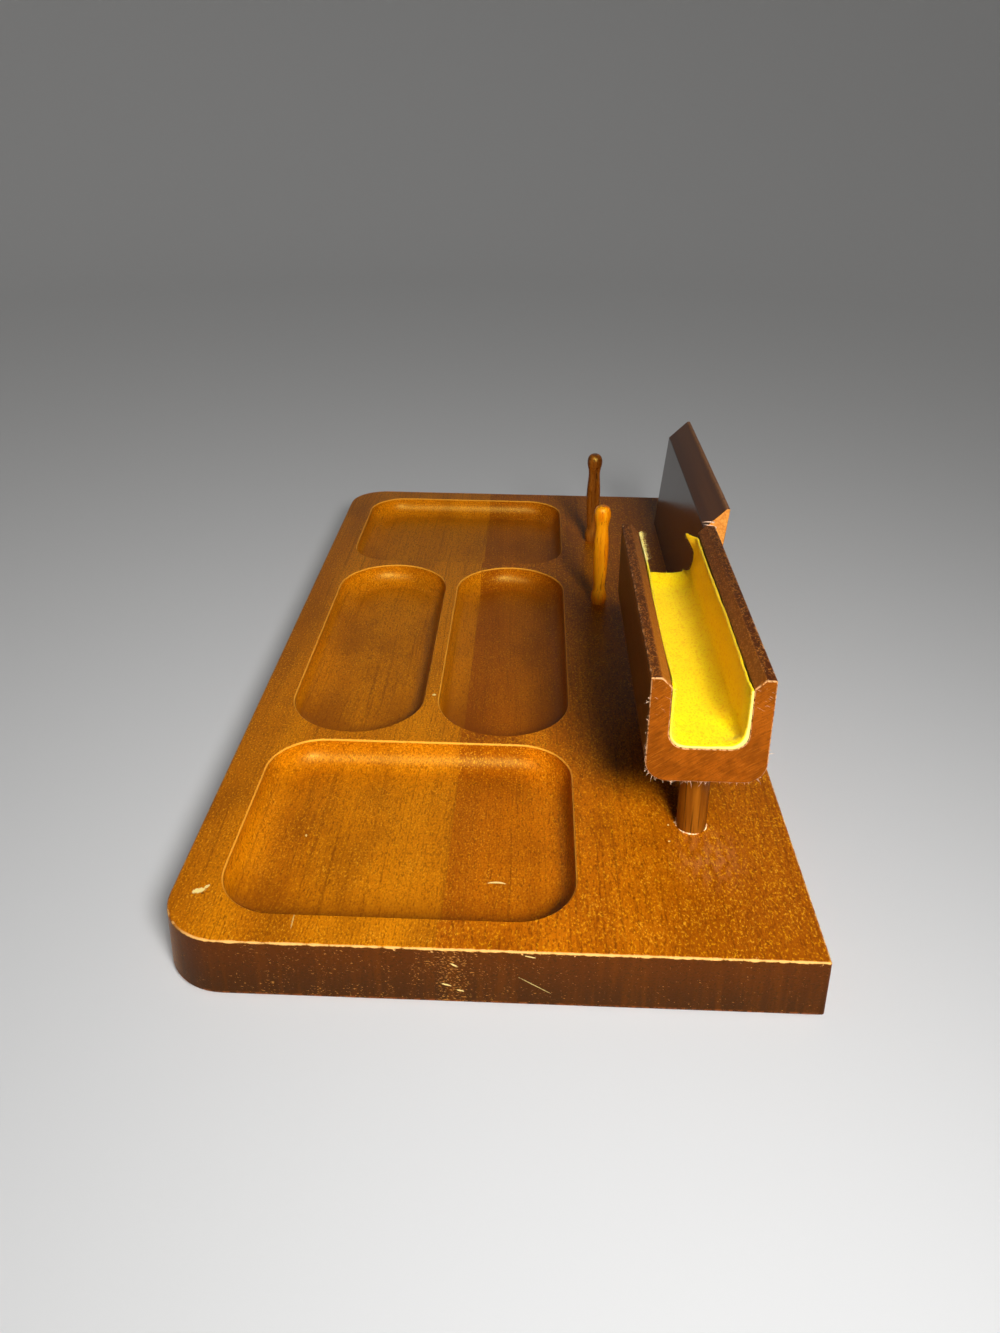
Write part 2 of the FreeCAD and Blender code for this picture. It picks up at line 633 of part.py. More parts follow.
# Every object has to be sound before any file is written
NODES = [
    "base_front_plank",
    "base_back_plank",
    "eyeglass_cradle",
    "cradle_felt_lining",
    "cradle_post_right",
    "cradle_post_left",
    "peg_right",
    "peg_left",
    "wallet_rest",
    "rest_screws",
    "base_felt_pads",
]
for item in doc.Objects:
    if "Invalid" in item.State or "Error" in item.State:
        raise RuntimeError("%s failed: %s" % (item.Name, item.State))
os.makedirs("parts", exist_ok=True)
for label in NODES:
    shape = doc.getObjectsByLabel(label)[0].Shape
    if shape.isNull() or not shape.isValid() or not shape.Solids:
        raise RuntimeError(label + " has no sound solid")
for label in NODES:
    shape = doc.getObjectsByLabel(label)[0].Shape
    shape.exportStep("parts/%s.step" % label)
    box = shape.BoundBox
    print("%s: %d solids, %.0f mm3, %.1f x %.1f x %.1f mm" % (
        label, len(shape.Solids), shape.Volume, box.XLength, box.YLength, box.ZLength))
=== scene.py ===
import math

import bpy
import numpy as np
from mathutils import Matrix


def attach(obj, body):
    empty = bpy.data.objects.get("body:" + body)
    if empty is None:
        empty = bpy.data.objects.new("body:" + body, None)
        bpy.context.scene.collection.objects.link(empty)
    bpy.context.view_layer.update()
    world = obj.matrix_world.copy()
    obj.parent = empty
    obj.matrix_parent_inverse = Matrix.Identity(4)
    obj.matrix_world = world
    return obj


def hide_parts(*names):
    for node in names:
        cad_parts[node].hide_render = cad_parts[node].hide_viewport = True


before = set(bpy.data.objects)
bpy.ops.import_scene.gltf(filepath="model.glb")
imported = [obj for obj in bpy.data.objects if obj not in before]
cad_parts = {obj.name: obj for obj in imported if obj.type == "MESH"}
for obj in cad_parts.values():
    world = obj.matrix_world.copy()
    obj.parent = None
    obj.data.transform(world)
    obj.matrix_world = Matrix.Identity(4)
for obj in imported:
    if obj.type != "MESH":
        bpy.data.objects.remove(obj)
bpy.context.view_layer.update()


# The board is two planks glued edge to edge, with two dishes and two ovals routed into its top.
# It is stained honey brown under a satin varnish, and the plank behind the glue line is redder.
# Wear has taken the stain off the edges, and the end grain is dark, nicked and scratched.
class Wire:
    """One output of a shader node. Arithmetic on wires and numbers adds Math nodes."""

    def __init__(self, tree, socket):
        self.tree = tree
        self.socket = socket

    def node(self, kind, settings, inputs, output=0):
        """Add a node by its type: its settings first, then the values or wires of its sockets."""
        made = self.tree.nodes.new(kind)
        for name, value in settings.items():
            setattr(made, name, value)
        for name, value in inputs.items():
            if isinstance(value, Wire):
                self.tree.links.new(value.socket, made.inputs[name])
            else:
                made.inputs[name].default_value = value
        return Wire(self.tree, made.outputs[output])

    def maths(self, operation, *values):
        return self.node("ShaderNodeMath", {"operation": operation}, dict(enumerate(values)))

    def __add__(self, other):
        return self.maths("ADD", self, other)

    def __radd__(self, other):
        return self.maths("ADD", other, self)

    def __sub__(self, other):
        return self.maths("SUBTRACT", self, other)

    def __rsub__(self, other):
        return self.maths("SUBTRACT", other, self)

    def __mul__(self, other):
        return self.maths("MULTIPLY", self, other)

    def __rmul__(self, other):
        return self.maths("MULTIPLY", other, self)

    def __abs__(self):
        return self.maths("ABSOLUTE", self)

    def least(self, other):
        return self.maths("MINIMUM", self, other)

    def most(self, other):
        return self.maths("MAXIMUM", self, other)

    def rise(self, start, end):
        """A smooth step from 0 at start to 1 at end. It falls where end is the smaller one."""
        ends = {0: self, 1: start, 2: end}
        return self.node("ShaderNodeMapRange", {"interpolation_type": "SMOOTHSTEP"}, ends)

    def split(self):
        """The x, y and z of a vector."""
        made = self.tree.nodes.new("ShaderNodeSeparateXYZ")
        self.tree.links.new(self.socket, made.inputs[0])
        return [Wire(self.tree, socket) for socket in made.outputs]

    def shift(self, x, y, z):
        """The vector moved by three values or wires."""
        step = self.node("ShaderNodeCombineXYZ", {}, {0: x, 1: y, 2: z})
        return self.node("ShaderNodeVectorMath", {"operation": "ADD"}, {0: self, 1: step})

    def turned(self, centre, turn, sizes=(1.0, 1.0, 1.0)):
        """The vector as seen from a centre, turned back by angles and divided by sizes."""
        inputs = {0: self, 1: centre, 2: turn, 3: sizes}
        return self.node("ShaderNodeMapping", {"vector_type": "TEXTURE"}, inputs)

    def inset(self, half, radius):
        """How far inside a rectangle about the origin the vector lies, seen from above. The rectangle has
        these half sizes in x and y and round corners; outside it the value is below zero."""
        x, y, _ = self.split()
        past_x = abs(x) - (half[0] - radius)
        past_y = abs(y) - (half[1] - radius)
        past = self.node("ShaderNodeCombineXYZ", {}, {0: past_x.most(0.0), 1: past_y.most(0.0)})
        reach = past.node("ShaderNodeVectorMath", {"operation": "LENGTH"}, {0: past}, 1)
        return radius - reach - past_x.most(past_y).least(0.0)

    def cloud(self, cells, detail=2.0, seed=0.0):
        """Noise from 0 to 1 whose cells have the given sizes along x, y and z."""
        scale = tuple(1.0 / size for size in cells)
        places = {0: self, 1: scale, 2: (seed, seed * 0.7, seed * 0.4)}
        moved = self.node("ShaderNodeVectorMath", {"operation": "MULTIPLY_ADD"}, places)
        return moved.node("ShaderNodeTexNoise", {}, {"Vector": moved, "Scale": 1.0, "Detail": detail})

    def spot(self, centre, half, turn=(0.0, 0.0, 0.0), bend=0.0, ragged=None, soft=0.72):
        """1 inside an ellipsoid with these half sizes, bent along its y, with a ragged outline if given.
        It fades from the share of the half sizes given as soft to their full length."""
        local = self.turned(centre, turn, half)
        if bend:
            across = local.split()[1]
            local = local.shift(across * across * bend, 0.0, 0.0)
        gap = local.node("ShaderNodeVectorMath", {"operation": "LENGTH"}, {0: local}, 1)
        if ragged is not None:
            gap = gap + ragged
        return gap.rise(1.0, soft)


def paint(share, under, over):
    """A colour laid over another one by a share from 0 to 1."""
    return share.node("ShaderNodeMix", {"data_type": "RGBA"}, {0: share, 6: under, 7: over}, 2)


def tone(red, green, blue):
    """A colour by its screen values, 0 to 255, turned into the linear values that a shader takes."""
    screen = np.array([red, green, blue]) / 255.0
    linear = np.where(screen <= 0.04045, screen / 12.92, ((screen + 0.055) / 1.055) ** 2.4)
    return (*linear.tolist(), 1.0)


def begin_finish(name):
    """A new material: its shader, the place on the piece in millimetres, and its normal."""
    finish = bpy.data.materials.new(name)
    finish.use_nodes = True
    tree = finish.node_tree
    corner = tree.nodes.new("ShaderNodeTexCoord")
    metres = Wire(tree, corner.outputs["Object"])
    place = metres.node("ShaderNodeVectorMath", {"operation": "SCALE"}, {0: metres, 3: 1000.0})
    return finish, tree.nodes["Principled BSDF"], place, Wire(tree, corner.outputs["Normal"])


def end_finish(shader, colour, rough, height, depth):
    """Wire the colour, roughness and relief into the shader. The depth of the relief is in millimetres."""
    tree = colour.tree
    relief = {"Height": height, "Distance": depth / 1000.0, "Strength": 1.0}
    bump = height.node("ShaderNodeBump", {}, relief)
    tree.links.new(colour.socket, shader.inputs["Base Color"])
    tree.links.new(rough.socket, shader.inputs["Roughness"])
    tree.links.new(bump.socket, shader.inputs["Normal"])


def dress(node, finish):
    """Give a piece of the frame its finish."""
    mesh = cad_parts[node].data
    mesh.materials.clear()
    mesh.materials.append(finish)


half_length = 182.0
half_width = 94.0
board_top = 20.2
pocket_floor = 11.0
corner_round = 19.0
glue_line = -14.6

# Each pocket has its middle, its half sizes, its corner radius and how much darker it is painted:
# a darker stain and painted shade, most on the back oval, which lies in the cradle's shadow.
pockets = [
    ((125.7, -27.8), (44.5, 53.0), 18.5, 0.10),
    ((-125.7, -27.8), (44.5, 53.0), 18.5, 0.20),
    ((0.0, -55.8), (75.3, 25.0), 25.0, 0.20),
    ((0.0, 0.2), (75.3, 25.0), 25.0, 0.34),
]
worn_edge = tone(232, 172, 96)
worn_rim = tone(238, 162, 50)
bare_chip = tone(255, 226, 140)
front_dark = tone(130, 64, 1)
back_dark = tone(120, 54, 1)
amber_gloss = (1.0, 0.74, 0.14, 1.0)


def plank_finish(name, deep, warm, dark, seed, marks, seam):
    """Stained wood with its grain along x: broad bands, fine fibres, short flecks and sand are noise
    drawn out along the grain. The end grain is dark, edges and rims are rubbed pale, and the varnish has
    hairline scratches."""
    finish, shader, place, normal = begin_finish(name)
    x, y, z = place.split()
    facing_x = abs(normal.split()[0])

    # The grain wanders a little to each side along the plank.
    drift = place.cloud((150.0, 46.0, 46.0), 1.0, seed)
    bent = place.shift(0.0, (drift - 0.5) * 9.0, 0.0)
    bands = bent.cloud((260.0, 17.0, 30.0), 2.0, seed).rise(0.28, 0.72)
    fibres = bent.cloud((60.0, 0.9, 0.9), 3.0, seed)
    flecks = bent.cloud((2.6, 0.6, 0.6), 2.0, seed)
    sand = place.cloud((0.9, 0.6, 0.6), 2.0, seed)
    blotch = place.cloud((34.0, 20.0, 30.0), 3.0, seed)

    colour = paint(bands, deep, warm)
    colour = paint(blotch.rise(0.44, 0.70) * 0.46, colour, dark)
    colour = seam(colour, place, fibres)
    colour = paint(fibres.rise(0.50, 0.24) * 0.65, colour, dark)
    colour = paint(flecks.rise(0.47, 0.28) * 0.75, colour, dark)
    colour = paint(sand.rise(0.46, 0.29) * 0.7, colour, dark)
    colour = paint(sand.rise(0.55, 0.70) * 0.55, colour, tone(246, 164, 14))

    # Years of rubbing have left short hairline scratches in all directions: the level lines of a noise.
    rubbed = place.cloud((2.2, 1.4, 1.4), 1.0, seed + 9.0)
    patchy = place.cloud((16.0, 10.0, 10.0), 2.0, seed + 4.0)
    hairline = abs(rubbed - 0.5).rise(0.05, 0.015) * sand.rise(0.46, 0.62) * patchy.rise(0.34, 0.66)
    colour = paint(hairline * 0.5, colour, tone(244, 170, 40))

    # The pockets are painted darker: partly a darker stain, partly painted shade. The strong darkening
    # along the ends nearest to the camera is painted shade, for the shadow below the near rims.
    for middle, half, radius, share in pockets:
        local = place.turned((middle[0], middle[1], 0.0), (0.0, 0.0, 0.0))
        inside = local.inset(half, radius)
        near_end = inside.rise(24.0, 9.0) * local.split()[0].rise(half[0] * 0.2, half[0] * 0.9)
        colour = paint(inside.rise(0.0, 2.0) * (share + near_end * 0.65), colour, dark)

    # The distance to the outline is below zero inside it: round corners in front, square ones behind.
    shifted = place.shift(0.0, -half_width, 0.0)
    outline = shifted.inset((half_length, 2.0 * half_width), corner_round) * -1.0
    outline = outline.most(y - half_width)
    nibble = place.cloud((2.6, 2.6, 2.6), 3.0, seed + 1.0)
    ends = abs(x).rise(half_length - 8.0, half_length - 1.0)

    # Wood cut across the grain drinks more stain, so the outer ends are dark, and they grow darker towards
    # the foot.
    # They show their pores and upright streaks in the varnish.
    pores = place.cloud((4.0, 0.7, 0.42), 3.0, seed + 3.0)
    runs = place.cloud((4.0, 2.4, 40.0), 2.0, seed + 6.0)
    end_tone = paint(z.rise(2.0, 19.5), tone(55, 15, 0), tone(77, 27, 0))
    end_tone = paint(runs.rise(0.42, 0.70) * 0.36, end_tone, tone(100, 44, 0))
    end_tone = paint(pores.rise(0.50, 0.28) * 0.6, end_tone, tone(34, 12, 0))
    on_end = outline.rise(-1.1, -0.5) * facing_x.rise(0.3, 0.85)
    colour = paint(on_end, colour, end_tone)

    # Top edge: a thin line worn through along both ends, with chips in it, and broken lines along the
    # sides: in the middle of the front and at the near end of the back.
    uneven = (nibble - 0.5) * 1.3
    edge = (outline + uneven * 0.4).rise(-0.62, -0.30)
    edge = edge * (z + uneven * 0.8).rise(board_top - 0.64, board_top - 0.30)
    chips = place.cloud((1.6, 1.6, 1.6), 2.0, seed + 8.0)
    chipped = (outline + uneven).rise(-1.5, -1.0) * z.rise(board_top - 1.5, board_top - 1.0)
    front_side = y.rise(-91.0, -93.0) * x.rise(-120.0, -60.0) * x.rise(130.0, 70.0)
    back_side = y.rise(91.0, 93.0) * x.rise(80.0, 140.0)
    sides = front_side.most(back_side)
    cover = nibble.rise(0.54, 0.62).most(ends * nibble.rise(0.24, 0.38))
    cover = cover.most(sides * nibble.rise(0.40, 0.50))
    chip_places = (ends * y.rise(-80.0, -20.0)).most(sides)
    edge = (edge * cover).most(chipped * chips.rise(0.66, 0.72) * chip_places)
    colour = paint(edge, colour, worn_edge)
    foot = outline.rise(-1.0, -0.4) * z.rise(2.6, 1.7) * nibble.rise(0.44, 0.58)
    colour = paint(foot * 0.5, colour, tone(176, 92, 40))

    # Pocket rims: a thin line where the varnish has gone.
    rim = z.rise(board_top - 0.72, board_top - 0.45) * outline.rise(-4.0, -6.0)
    rim = rim * z.rise(board_top - 0.02, board_top - 0.12)
    colour = paint(rim * nibble.rise(0.22, 0.40) * 0.85, colour, worn_rim)

    # Ends: tiny slanting nicks through to pale wood, thickest just behind the glue line.
    slanted = place.turned((0.0, 0.0, 0.0), (-0.2, 0.0, 0.0))
    nicks = slanted.cloud((3.0, 0.85, 0.30), 2.0, seed + 5.0)
    crowd = place.cloud((60.0, 7.0, 7.0), 2.0, seed + 2.0).rise(0.38, 0.66)
    crowd = crowd * y.rise(-76.0, -60.0) * y.rise(40.0, 0.0)
    near_seam = (y - glue_line).rise(-1.5, 1.5) * (y - glue_line).rise(15.0, 5.0)
    amount = (crowd * 0.09).most(near_seam * 0.12)
    nick = (nicks + amount).rise(0.69, 0.76) * on_end
    colour = paint(nick * 0.65, colour, tone(200, 134, 58))

    # Single marks: each has its centre, half sizes, turn, bend, strength and colour.
    ragged = (sand - 0.5) * 0.9
    scars = nick
    for centre, half, turn, bend, strength, stain in marks:
        scar = place.spot(centre, half, turn, bend, ragged) * strength
        colour = paint(scar, colour, stain)
        scars = scars.most(scar)

    worn = edge.most(scars)
    rough = 0.36 + (sand - 0.5) * 0.14 + worn * 0.26 + on_end * 0.2
    height = fibres * 0.25 + flecks * 0.3 + sand * 0.3 - worn * 0.55 + pores * on_end * 0.4
    end_finish(shader, colour, rough, height, 0.09)
    shader.inputs["Specular IOR Level"].default_value = 0.32
    shader.inputs["Specular Tint"].default_value = amber_gloss
    return finish


def front_seam(colour, place, _):
    """The front plank grows lighter and yellower towards the glue line, and darker towards its front
    edge. A thin dark line marks the joint."""
    y = place.split()[1]
    colour = paint(y.rise(-60.0, glue_line) * 0.25, colour, tone(216, 130, 14))
    colour = paint(y.rise(-76.0, -92.0) * 0.22, colour, front_dark)
    return paint(y.rise(glue_line - 0.4, glue_line) * 0.5, colour, tone(120, 60, 6))


def back_seam(colour, place, fibres):
    """The back plank grows darker towards the back edge and its near end. Towards the far end it is
    painted darker: painted shade for the fall of the lamp's light. It has a darker stripe just behind the
    glue line, and a hazy scuff beside the post."""
    x, y, _ = place.split()
    colour = paint(y.rise(5.0, 80.0) * 0.7, colour, tone(158, 80, 3))
    colour = paint(x.rise(120.0, half_length) * y.rise(10.0, 60.0) * 0.25, colour, back_dark)
    # Painted shade: darker from the middle to the far end, for the fall of the lamp's light.
    colour = paint(x.rise(90.0, -40.0) * 0.32, colour, back_dark)
    stripe = (y + (fibres - 0.5) * 5.0).rise(glue_line + 10.5, glue_line + 7.0)
    colour = paint(stripe * 0.36, colour, tone(150, 74, 6))
    haze = place.spot((140.0, 67.0, board_top), (20.0, 15.0, 4.0), soft=0.0)
    haze = haze * place.cloud((5.0, 2.0, 4.0), 3.0, 2.0).rise(0.36, 0.62)
    return paint(haze * 0.34, colour, tone(206, 128, 74))


front_marks = [
    ((162.2, -85.7, board_top), (1.2, 2.2, 1.0), (0.0, 0.0, 0.35), 0.0, 1.0, bare_chip),
    ((160.4, -83.8, board_top), (0.6, 1.1, 1.0), (0.0, 0.0, 1.0), 0.0, 0.9, bare_chip),
    ((163.2, -84.2, board_top), (0.5, 0.6, 1.0), (0.0, 0.0, 0.3), 0.0, 0.8, tone(96, 50, 8)),
    ((48.0, -27.1, board_top), (0.8, 0.9, 1.0), (0.0, 0.0, 0.5), 0.0, 0.9, bare_chip),
    ((124.0, -62.3, pocket_floor), (0.7, 0.35, 1.0), (0.0, 0.0, 0.2), 0.0, 0.9, bare_chip),
    ((173.0, -55.6, board_top), (4.0, 0.22, 1.0), (0.0, 0.0, 0.04), 0.0, 0.4, bare_chip),
]
back_marks = [
    ((143.6, 1.2, pocket_floor), (0.42, 3.3, 1.0), (0.0, 0.0, 0.0), -1.4, 1.0, bare_chip),
    ((half_length, 13.2, 8.5), (1.0, 6.0, 0.16), (-0.54, 0.0, 0.0), 0.0, 0.45, bare_chip),
    ((half_length, -11.3, 7.6), (1.0, 1.8, 0.3), (-0.28, 0.0, 0.0), 0.0, 0.8, bare_chip),
    ((half_length, -7.5, 5.7), (1.0, 1.3, 0.26), (-0.22, 0.0, 0.0), 0.0, 0.8, bare_chip),
    ((half_length, -9.2, 14.7), (1.0, 1.3, 0.3), (-0.5, 0.0, 0.0), 0.0, 0.8, bare_chip),
    ((half_length, 11.8, 18.6), (1.0, 1.8, 0.26), (-0.18, 0.0, 0.0), 0.0, 0.7, bare_chip),
    ((132.6, 55.1, board_top), (0.4, 0.4, 1.0), (0.0, 0.0, 0.0), 0.0, 0.9, bare_chip),
    ((124.4, 55.7, board_top), (0.45, 0.3, 1.0), (0.0, 0.0, 0.0), 0.0, 0.8, bare_chip),
]
front_finish = plank_finish(
    "front_plank_stain", tone(194, 107, 2), tone(218, 128, 4), front_dark, 1.0, front_marks, front_seam
)
back_finish = plank_finish(
    "back_plank_stain", tone(190, 98, 2), tone(216, 118, 4), back_dark, 7.0, back_marks, back_seam
)
dress("base_front_plank", front_finish)
dress("base_back_plank", back_finish)


# Four felt feet are stuck under the corners, so that the tray doesn't scratch a dresser.
# Each is a disc punched from dark brown felt, with a soft rounded edge.
def skin(name, tubes, finish):
    """A mesh of closed tubes. The array has the shape tubes, rings, points round, 3, in millimetres.
    Quads join each ring to the next one, and strips across the first and last ring close the ends."""
    count, rings, around = tubes.shape[:3]
    index = np.arange(count * rings * around).reshape(count, rings, around)
    here = index[:, :-1]
    there = index[:, 1:]
    wall = np.stack([here, np.roll(here, -1, 2), np.roll(there, -1, 2), there], -1)
    half = around // 2

    def strip(ring):
        back = ring[:, ::-1]
        sides = [ring[:, :half - 1], back[:, :half - 1], back[:, 1:half], ring[:, 1:half]]
        return np.stack(sides, -1).reshape(-1, 4)

    faces = np.concatenate([wall.reshape(-1, 4), strip(index[:, 0]), strip(index[:, -1])[:, ::-1]])
    points = tubes.reshape(-1, 3) / 1000.0
    corner = points[faces]
    first = np.einsum("ij,ij->i", corner[:, 0], np.cross(corner[:, 1], corner[:, 2]))
    second = np.einsum("ij,ij->i", corner[:, 0], np.cross(corner[:, 2], corner[:, 3]))
    if first.sum() + second.sum() < 0.0:
        faces = faces[:, ::-1]
    mesh = bpy.data.meshes.new(name)
    mesh.from_pydata(points.tolist(), [], faces.tolist())
    mesh.shade_smooth()
    mesh.materials.append(finish)
    piece = bpy.data.objects.new(name, mesh)
    bpy.context.scene.collection.objects.link(piece)
    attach(piece, "root")
    return piece


def felt_finish(name, floor, shade, light, cut, deep):
    """Pressed wool: fine mottled fibres with darker pits. The point attribute cut_and_shade holds two
    shares:
    how pale it is where it was cut, and how much painted shade turns it a deeper yellow."""
    finish, shader, place, _ = begin_finish(name)
    wool = place.cloud((0.8, 0.6, 0.6), 3.0)
    pits = place.cloud((2.2, 1.6, 1.6), 2.0, 4.0)
    mottle = place.cloud((9.0, 6.0, 6.0), 2.0, 2.0)
    pale, painted_wall_shade, _ = mottle.node("ShaderNodeAttribute", {"attribute_name": "cut_and_shade"}, {}, 1).split()
    colour = paint(mottle.rise(0.35, 0.65) * 0.5, floor, light)
    # Painted shade: the second share turns the wool a deeper yellow.
    colour = paint(painted_wall_shade, colour, deep)
    colour = paint(wool.rise(0.50, 0.30) * 0.7, colour, shade)
    colour = paint(pits.rise(0.42, 0.24) * 0.6, colour, shade)
    colour = paint(wool.rise(0.60, 0.76) * 0.35, colour, light)
    colour = paint(pale, colour, cut)
    rough = 0.9 + (wool - 0.5) * 0.1
    end_finish(shader, colour, rough, wool * 0.7 + pits * 0.3, 0.22)
    shader.inputs["Specular IOR Level"].default_value = 0.05
    shader.inputs["Sheen Weight"].default_value = 0.06
    shader.inputs["Sheen Roughness"].default_value = 0.55
    return finish


rng = np.random.default_rng(1927)
foot_round = np.linspace(0.0, 2.0 * math.pi, 96, endpoint=False)
foot_radius = np.array([5.0, 7.9, 8.6, 8.86, 9.0, 9.0, 8.92, 8.8])
foot_height = np.array([0.03, 0.0, 0.04, 0.22, 0.5, 0.85, 1.1, 1.18])
foot_middles = np.array([[160.0, 72.0], [160.0, -72.0], [-160.0, 72.0], [-160.0, -72.0]])
ruffle = 1.0 - 0.02 * rng.random((4, 1, 96)) * np.linspace(0.2, 1.0, 8)[None, :, None]
reach = foot_radius[None, :, None] * ruffle
feet = np.stack(
    [
        foot_middles[:, 0, None, None] + reach * np.cos(foot_round),
        foot_middles[:, 1, None, None] + reach * np.sin(foot_round),
        np.broadcast_to(foot_height[None, :, None], reach.shape),
    ],
    -1,
)
foot_felt = felt_finish(
    "foot_felt", tone(66, 52, 42), tone(40, 30, 24), tone(88, 72, 60), tone(96, 80, 66), tone(34, 26, 20)
)
felt_feet = skin("felt_feet", feet, foot_felt)
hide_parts("base_felt_pads")


# Two dowel posts carry the cradle. They are glued into the board and stained brown, with a straight grain.
# A little glue squeezed out round each foot and dried to a pale crust.
def upright_finish(name, deep, warm, dark, cells, seed, dull):
    """Stained wood with its grain along z: broad tones, long dark pores and fine fibres."""
    finish, shader, place, normal = begin_finish(name)
    tones = place.cloud((3.2, 3.2, 60.0), 2.0, seed)
    pores = place.cloud(cells, 2.0, seed + 4.0)
    fibres = place.cloud((0.3, 0.3, 5.0), 3.0, seed + 2.0)
    colour = paint(tones.rise(0.34, 0.66), deep, warm)
    colour = paint(fibres.rise(0.48, 0.24) * 0.35, colour, dark)
    colour = paint(pores.rise(0.60, 0.68) * 0.8, colour, dark)
    colour = paint(fibres.rise(0.66, 0.80) * 0.3, colour, tone(236, 170, 90))
    ends = abs(normal.split()[2]).rise(0.9, 0.99)
    colour = paint(ends * 0.2, colour, dark)
    rough = dull + (fibres - 0.5) * 0.2
    end_finish(shader, colour, rough, fibres * 0.5 - pores.rise(0.58, 0.68) * 0.5, 0.12)
    shader.inputs["Specular Tint"].default_value = amber_gloss
    return finish


post_stain = upright_finish(
    "post_stain", tone(108, 53, 5), tone(148, 84, 14), tone(56, 24, 2), (0.42, 0.42, 26.0), 3.0, 0.40
)
dress("cradle_post_right", post_stain)
dress("cradle_post_left", post_stain)

post_radius = 4.75
post_places = np.array([[124.0, 63.0], [34.2, 63.0]])
crust_spans = np.array([[3.35, 4.95], [5.15, 6.75], [0.9, 2.4]])
along_crust = np.linspace(0.0, 1.0, 40)
round_crust = np.linspace(0.0, 2.0 * math.pi, 12, endpoint=False)
crust_turn = crust_spans[:, :1] + (crust_spans[:, 1:] - crust_spans[:, :1]) * along_crust
crust_swell = np.sin(math.pi * along_crust) ** 0.6 * np.array([[0.52], [0.26], [0.34]])
crust_lumps = 1.0 + 0.28 * np.sin(crust_turn * 17.0) + 0.2 * np.sin(crust_turn * 29.0 + 1.0)
crust_swell = crust_swell * crust_lumps + 0.03
crust_out = post_radius + 0.15 * crust_swell[..., None] + crust_swell[..., None] * np.cos(round_crust)
crust_up = board_top + 0.2 * crust_swell[..., None] + 0.8 * crust_swell[..., None] * np.sin(round_crust)
crust = np.concatenate(
    [
        np.stack(
            [
                middle[0] + crust_out * np.cos(crust_turn + turn)[..., None],
                middle[1] + crust_out * np.sin(crust_turn + turn)[..., None],
                crust_up,
            ],
            -1,
        )
        for middle, turn in zip(post_places, (0.0, 2.1))
    ]
)
glue_dry, glue_shader, glue_place, _ = begin_finish("dry_glue")
glue_mottle = glue_place.cloud((0.7, 0.7, 0.7), 3.0)
glue_colour = paint(glue_mottle.rise(0.35, 0.65), tone(232, 160, 96), tone(255, 232, 178))
end_finish(glue_shader, glue_colour, 0.45 + glue_mottle * 0.2, glue_mottle, 0.15)
skin("post_glue_crust", crust, glue_dry)


# The eyeglass cradle is a block of wood with a channel along it, glued onto the two posts.
# Its sides are stained dark red brown and painted darker still as shade, the sawn ends took less stain,
# and the edges are frayed and pale.
# Left, right, near and far are as the camera sees them, here and for the lining.
cradle_low = np.array([18.9, 44.8, 47.4])
cradle_high = np.array([139.3, 81.2, 82.6])
cradle_middle = 63.0
cradle_round = 6.8


